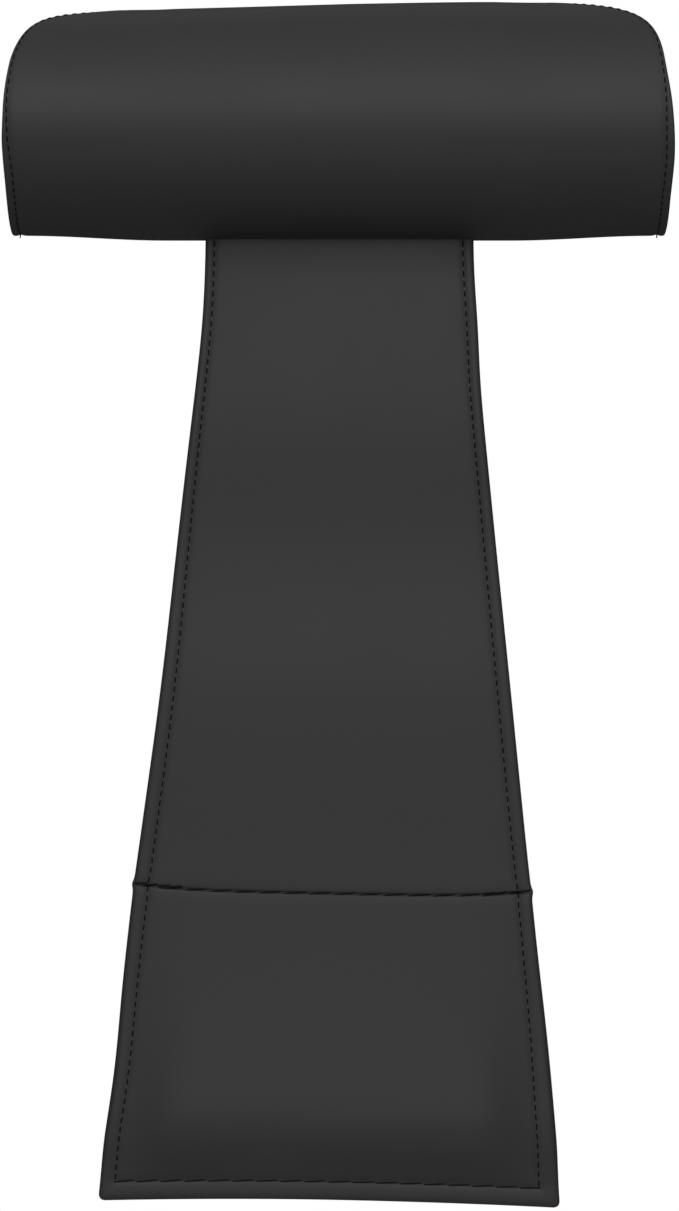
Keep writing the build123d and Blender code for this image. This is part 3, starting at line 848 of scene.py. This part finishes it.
def strap_point(across, width, down, face):
    """Points of the strap's front (face -1) or back (face 1) at distances from its left edge."""
    share = across / width * 2 - 1
    hem = HEM - (2.0 * (1 - share**2) - 1.0 * np.clip(-share, 0, 1) ** 1.5) * MM * (down > POCKET_SEAM)
    real = down - (HEM - hem) * np.clip((down - POCKET_SEAM) / (HEM - POCKET_SEAM), 0, 1)
    to_hem = np.maximum(HEM - down, 0)
    from_left, from_right = across, width - across
    edge = np.minimum(np.minimum(from_left, from_right), 0.7 * to_hem)
    roll = np.sqrt(1 - (1 - np.clip(edge / HALF_THICK, 0, 1)) ** 2)
    inside_left, inside_right = from_left - margin(down, -1), from_right - margin(down, 1)
    inside_hem = to_hem - HEM_MARGIN
    inner = np.minimum(np.minimum(inside_left, inside_right), inside_hem)
    stitched = np.where(
        np.abs(inner) < 12 * MM, bump(inner, 1.2 * MM) * 0.8 + bump(inner, 3.6 * MM) * 0.3, 0.0
    ) * MM
    lift = 0.35 * MM * ramp(inner, 2 * MM, 16 * MM)
    seam_gap = np.abs(down - POCKET_SEAM)
    seam = (bump(seam_gap, 0.7 * MM) * 1.2 + bump(seam_gap, 3.4 * MM) * 0.4) * MM
    if face < 0:
        mound = pocket_mound(np.maximum(inside_left, 0), np.maximum(inside_right, 0), down)
        thick = (HALF_THICK + lift - stitched - seam + mound) * roll
    else:
        thick = HALF_THICK * roll - (0.6 * stitched + 0.45 * seam - 0.3 * lift) * roll
    x = across - width / 2 - LEAN * down + edge_drift(share, down)
    y = -HALF_THICK - wave(down) + face * thick
    skew = SKEW * x * ramp(down, 150 * MM, POCKET_SEAM)
    return np.stack([x, y, BOTTOM - real - skew - seam_dip(share, down)], 1)


def strap_ring(down):
    """One closed ring round the strap: across the front from left to right, and back behind."""
    across, width = strap_columns(down)
    front = strap_point(across, width, down, -1)
    back = strap_point(across, width, down, 1)[-2:0:-1]
    flat_front = np.stack([front[:, 0], np.full(len(front), down), np.zeros(len(front))], 1)
    flat_back = np.stack([back[:, 0], np.full(len(back), down), np.full(len(back), 0.9)], 1)
    return np.concatenate([front, back]), np.concatenate([flat_front, flat_back])


row_downs = strap_rows()
rings = [strap_ring(down) for down in row_downs]
strap_points = np.concatenate([r[0] for r in rings])
strap_hide = np.concatenate([r[1] for r in rings]) / MM
RING_SIZE = len(rings[0][0])
print(f"strap: {len(rings)} rows of {RING_SIZE} points")

# %% Cut the strap into pieces, one across each hinge
BENDS = [
    ("headrest", "strap_upper", "seam_fold", 7.0),
    ("strap_upper", "front_link", "front_fold_upper", 20.0),
    ("front_link", "strap_middle", "front_fold_lower", 20.0),
    ("strap_middle", "rear_link", "rear_fold_upper", 20.0),
    ("rear_link", "strap_lower", "rear_fold_lower", 20.0),
    ("strap_lower", "pocket", "pocket_fold", 9.0),
]
PIECE_NAMES = [
    "strap_root", "strap_front_bend_a", "strap_front_bend_b",
    "strap_rear_bend_a", "strap_rear_bend_b", "strap_end_and_pocket",
]
BODY_LAYERS = ("front_leather", "interlining", "back_leather")


def bend(piece, index):
    """Bakes a finished piece's place into its mesh."""
    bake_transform(piece)


def whole_strap_normals():
    """The normal at every strap point, from the whole strap."""
    whole = mesh_object("whole_strap", strap_points, ring_faces(len(rings), RING_SIZE))
    normals = np.empty(len(strap_points) * 3)
    whole.data.vertices.foreach_get("normal", normals)
    bpy.data.objects.remove(whole)
    return normals.reshape(-1, 3)


def strap_piece(name, first, last, normals):
    """One stretch of the strap between two cuts, closed at both ends."""
    points = strap_points[first * RING_SIZE:(last + 1) * RING_SIZE]
    hide = strap_hide[first * RING_SIZE:(last + 1) * RING_SIZE]
    kept = normals[first * RING_SIZE:(last + 1) * RING_SIZE]
    count = last - first + 1
    faces = ring_faces(count, RING_SIZE)
    faces.append(tuple(range(RING_SIZE)))
    if last < len(rings) - 1:
        faces.append(tuple(reversed(range((count - 1) * RING_SIZE, count * RING_SIZE))))
    piece = mesh_object(name, points, faces, hide)
    mesh = piece.data
    stored = mesh.attributes.new("whole_normal", "FLOAT_VECTOR", "POINT")
    stored.data.foreach_set("vector", np.asarray(kept, np.float32).ravel())
    edit = bmesh.new()
    edit.from_mesh(mesh)
    bmesh.ops.remove_doubles(edit, verts=edit.verts, dist=1e-6)
    edit.to_mesh(mesh)
    edit.free()
    vectors = np.empty(len(mesh.vertices) * 3)
    mesh.attributes["whole_normal"].data.foreach_get("vector", vectors)
    vectors = vectors.reshape(-1, 3)
    loops = []
    for face in mesh.polygons:
        cap = len(face.vertices) > 4
        for vertex in face.vertices:
            loops.append(face.normal if cap else Vector(vectors[vertex]))
    mesh.attributes.remove(mesh.attributes["whole_normal"])
    mesh.normals_split_custom_set([tuple(v) for v in loops])
    mesh.materials.append(LEATHER)
    return piece


normals = whole_strap_normals()
bounds = [0] + [int(np.argmin(np.abs(np.array(row_downs) - cut))) for cut in CUTS] + [len(rings) - 1]
for index, name in enumerate(PIECE_NAMES):
    piece = strap_piece(name, bounds[index], bounds[index + 1], normals)
    bend(piece, index)
    body_name = BENDS[index][1]
    if index < 5:
        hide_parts(*[f"{body_name}_{layer}" for layer in BODY_LAYERS])
    else:
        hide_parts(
            "pocket_front_leather", "pocket_back_leather", "pocket_foam_pad",
            "weight_bag_cloth", "weight_bag_sand",
        )
    print(f"{name}: {len(piece.data.polygons)} faces, bends on {BENDS[index][2]}")

# %% [markdown]
# ## The strap's stitches
#
# Both long edges carry a row of short stitches, front and back. The pocket's top seam and its hem are
# sewn with longer, slanting stitches that nearly touch, and a second row of stitches locks each end of
# the seam.

# %% Side stitches
def surface_line(downs, across_of, face, lift=0.3):
    """A line on the strap's face at given distances down, and its outward directions."""
    places, directions = [], []
    for down in downs:
        _, width = strap_columns(down)
        across = across_of(down, width)
        place = strap_point(np.array([across]), width, down, face)[0]
        place[1] += face * lift * MM
        places.append(place)
        directions.append((0, face, 0))
    return places, directions


def side_lines(near, far):
    """Both stitch lines on both faces, from one distance down to another."""
    downs = np.linspace(near, far, max(4, int((far - near) / (4 * MM))))
    lines = []
    for face in (-1, 1):
        lines.append(surface_line(downs, lambda down, width: margin(down, -1), face))
        lines.append(surface_line(downs, lambda down, width: width - margin(down, 1), face))
    return lines


edges = [1.0 * MM] + CUTS + [HEM - HEM_MARGIN]
for index, name in enumerate(PIECE_NAMES):
    near, far = edges[index], edges[index + 1]
    count = round((far - near) / (STITCH_PITCH * MM))
    half = (far - near) / count / 2
    lines = side_lines(near + half, far - half)
    row = stitch_row(f"{name}_side_stitches", lines, STITCH_PITCH, STITCH_LENGTH)
    bend(row, index)
    body_name = BENDS[index][1]
    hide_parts(f"{body_name}_side_threads" if index < 5 else "pocket_edge_thread")
print("side stitches on", len(PIECE_NAMES), "pieces")

# %% Pocket seam and hem stitches
LONG_PITCH = 14.6
SEAM_INSET = 8.6 * MM  # from the strap's edge to the middle of the first long stitch
TACK_LENGTH = 27 * MM
TACK_INSET = 5 * MM


def cross_line(down, from_left, from_right, face, lift=0.3):
    """A line across the strap at one distance down."""
    _, width = strap_columns(down)
    across = np.linspace(from_left, width - from_right, 60)
    places = strap_point(across, width, down, face)
    places[:, 1] += face * lift * MM
    return places, np.tile((0, face, 0), (60, 1))


seam_lines = [
    cross_line(POCKET_SEAM, SEAM_INSET, SEAM_INSET, face, lift) for face, lift in ((-1, 0.8), (1, 0.3))
]
seam_row = stitch_row(
    "pocket_seam_stitches", seam_lines, LONG_PITCH, LONG_PITCH, dive=0.4, slant=6.0, uneven=0.8
)
bend(seam_row, 5)
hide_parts("pocket_seam_thread")
_, seam_width = strap_columns(POCKET_SEAM)
tacks = [
    cross_line(POCKET_SEAM - 1.1 * MM, TACK_INSET, seam_width - TACK_LENGTH, -1, 0.4),
    cross_line(POCKET_SEAM - 0.9 * MM, seam_width - TACK_LENGTH, TACK_INSET, -1, 0.4),
]
tack_row = stitch_row("pocket_seam_back_tacks", tacks, 7.0, 7.4, radius=0.36, dive=0.3, slant=6.0)
bend(tack_row, 5)
hem_down = HEM - HEM_MARGIN
hem_insets = [margin(hem_down, side) + 5 * MM for side in (-1, 1)]
hem_lines = [cross_line(hem_down, *hem_insets, face) for face in (-1, 1)]
hem_row = stitch_row("pocket_hem_stitches", hem_lines, LONG_PITCH, 14.4, dive=0.6, slant=3.6, uneven=1.0)
bend(hem_row, 5)
print("pocket seam, back-tacks and hem stitched")

# %% [markdown]
# ## The zip
#
# The zip isn't seen in use: it lies in a slot across the flat back and lets the cover come off the foam.
# Its two nylon coils are loops of wire 1.6 mm apart, each an oval that wraps the edge of its tape. The
# loops repeat, so Geometry Nodes lay them.

# %% Zip coils
COIL_LEAN = 0.22  # radians


def coil_tree():
    """Oval wire loops evenly spaced along every line of the input mesh."""
    inputs = {"Lines": "Geometry", "Pitch": "Float", "Wire Radius": "Float", "Loop Size": "Vector"}
    inputs |= {"Material": "Material"}
    tree, given, result = new_tree("zip_coil", inputs)
    circle = node(tree, "GeometryNodeCurvePrimitiveCircle", {"Resolution": 14, "Radius": 1.0})
    stand = node(tree, "GeometryNodeTransform", {"Rotation": (0, math.pi / 2, 0)}, {"Geometry": circle})
    oval = node(tree, "GeometryNodeTransform", {}, {"Geometry": stand, "Scale": given["Loop Size"]})
    lean = node(tree, "GeometryNodeTransform", {"Rotation": (0, COIL_LEAN, 0)}, {"Geometry": oval})
    wire = {"Radius": given["Wire Radius"]}
    wire = node(tree, "GeometryNodeCurvePrimitiveCircle", {"Resolution": 6}, wire)
    loop = node(tree, "GeometryNodeCurveToMesh", {}, {"Curve": lean, "Profile Curve": wire})
    line = node(tree, "GeometryNodeMeshToCurve", {}, {"Mesh": given["Lines"]})
    spots = {"Curve": line, "Length": given["Pitch"]}
    spots = node(tree, "GeometryNodeCurveToPoints", {"mode": "LENGTH"}, spots)
    rows = node(tree, "GeometryNodeInstanceOnPoints", {}, {"Points": spots, "Instance": loop})
    finish_tree(tree, rows, given["Material"], result)
    return tree


COILS = coil_tree()
for word in ("upper", "lower"):
    low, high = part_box(f"zip_coil_{word}")
    middle = (low + high) / 2
    mesh = bpy.data.meshes.new("coil_line")
    mesh.from_pydata([(low.x, middle.y, middle.z), (high.x, middle.y, middle.z)], [(0, 1)], [])
    line = bpy.data.objects.new("coil_line", mesh)
    bpy.context.scene.collection.objects.link(line)
    modifier = line.modifiers.new("coil", "NODES")
    modifier.node_group = COILS
    set_input(modifier, "Pitch", 1.6 * MM)
    set_input(modifier, "Wire Radius", 0.34 * MM)
    set_input(modifier, "Loop Size", (1.0, 0.42 * MM, (high.z - low.z) / 2 - 0.3 * MM))
    set_input(modifier, "Material", NYLON)
    coil = plain_mesh(line, f"coil_loops_{word}")
    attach(coil, "headrest")
    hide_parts(f"zip_coil_{word}")
    print(f"{coil.name}: {len(coil.data.polygons)} faces")

# %% Tapes, stops, slider and pull
def softened_copy(name, width):
    """A copy of a CAD node with its sharp edges broken, in painted zinc."""
    source = frame["nodes"][name]
    mesh = source.data.copy()
    edit = bmesh.new()
    edit.from_mesh(mesh)
    bmesh.ops.remove_doubles(edit, verts=edit.verts, dist=1e-6)
    bmesh.ops.dissolve_limit(edit, angle_limit=math.radians(2), verts=edit.verts, edges=edit.edges)
    edit.to_mesh(mesh)
    edit.free()
    mesh.materials.clear()
    mesh.materials.append(ZINC)
    made = bpy.data.objects.new(name + "_finished", mesh)
    bpy.context.scene.collection.objects.link(made)
    bevel = made.modifiers.new("bevel", "BEVEL")
    bevel.width = width * MM
    bevel.segments = 2
    bevel.limit_method = "ANGLE"
    bevel.angle_limit = math.radians(40)
    bevel.use_clamp_overlap = True
    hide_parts(name)
    return made


for word in ("upper", "lower"):
    tape = frame["nodes"][f"zip_tape_{word}"]
    tape.data.materials.clear()
    tape.data.materials.append(TAPE)
for name, body_name in (("zip_stops", "headrest"), ("zip_slider", "zip_slider"), ("zip_pull", "zip_pull")):
    piece = softened_copy(name, 0.16)
    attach(piece, body_name)
print("zip slider, pull and stops finished")

# %% [markdown]
# ## Floor, light and camera
#
# The headrest is held up by its flat back, so the floor lies clear below it. The backdrop is plain white.
# One large softbox stands above and in front, as in a product studio. Two weaker ones light the top edge
# from overhead and from behind, and the room itself gives hardly any light, so that black leather stays
# black.

# %% Floor
FLOOR_Z = -0.92
bpy.ops.mesh.primitive_circle_add(vertices=96, radius=1.5, fill_type="NGON", location=(0, 0, 0))
floor = bpy.context.object
floor.name = "floor"
floor.data.transform(floor.matrix_world)
for vertex in floor.data.vertices:
    vertex.co.z = FLOOR_Z
floor_material, _ = new_material("studio_floor_paint", "#c8c8c6", 0.7)
floor.data.materials.append(floor_material)
print("floor at", FLOOR_Z)

# %% White room
ROOM_ABOVE = 0.04  # how strongly the room lights the object from above and from below
ROOM_BELOW = 0.03
scene = bpy.context.scene
world = bpy.data.worlds.new("white_room")
world.use_nodes = True
scene.world = world
world.node_tree.nodes.clear()
direction = node(world, "ShaderNodeTexCoord").outputs["Generated"]
upness = node(world, "ShaderNodeSeparateXYZ", {}, {"Vector": direction}).outputs["Z"]
span = {"interpolation_type": "SMOOTHSTEP", "From Min": -0.7, "From Max": 0.7}
span |= {"To Min": ROOM_BELOW, "To Max": ROOM_ABOVE}
strength = node(world, "ShaderNodeMapRange", span, {"Value": upness})
seen = node(world, "ShaderNodeBackground", {"Color": (1, 1, 1, 1), "Strength": 1.0})
lit = node(world, "ShaderNodeBackground", {"Color": (1, 1, 1, 1)}, {"Strength": strength})
ray = node(world, "ShaderNodeLightPath").outputs["Is Camera Ray"]
mix = node(world, "ShaderNodeMixShader", {}, {"Fac": ray, 1: lit, 2: seen})
node(world, "ShaderNodeOutputWorld", {}, {"Surface": mix})
scene.view_settings.view_transform = "Standard"
print("room light", ROOM_BELOW, "to", ROOM_ABOVE)

# %% Studio light
AIM = Vector((0, 0, (BOTTOM - STRAP_END) / 2))
SOFTBOXES = [  # name, place, width, height, power in watts
    ("front_softbox", (0.0, -3.8, 1.35), 2.6, 3.4, 102.0),
    ("overhead_softbox", (0.0, -1.0, 3.4), 2.2, 2.2, 17.0),
    ("rear_softbox", (0.0, 2.3, 2.9), 2.4, 1.6, 7.0),
]
for name, place, width, height, power in SOFTBOXES:
    lamp = bpy.data.lights.new(name, "AREA")
    lamp.shape = "RECTANGLE"
    lamp.size, lamp.size_y = width, height
    lamp.energy = power
    softbox = bpy.data.objects.new(name, lamp)
    scene.collection.objects.link(softbox)
    softbox.location = place
    softbox.rotation_euler = (AIM - Vector(place)).to_track_quat("-Z", "Y").to_euler()
print(f"{len(SOFTBOXES)} softboxes placed")

# %% Camera
VIEW_DISTANCE = 3.2
VIEW_HEIGHT = 0.7331  # what the picture's height covers at the strap
VIEW_CENTRE = -0.2925  # the height that the camera looks at
camera_data = bpy.data.cameras.new("camera")
camera_data.sensor_fit = "VERTICAL"
camera_data.sensor_height = 36
camera_data.lens = 36 * VIEW_DISTANCE / VIEW_HEIGHT
camera = bpy.data.objects.new("camera", camera_data)
scene.collection.objects.link(camera)
camera.location = (0.0003, -VIEW_DISTANCE, VIEW_CENTRE)
camera.rotation_euler = (math.pi / 2, 0, 0)
scene.camera = camera
print("camera at", tuple(round(v, 3) for v in camera.location))
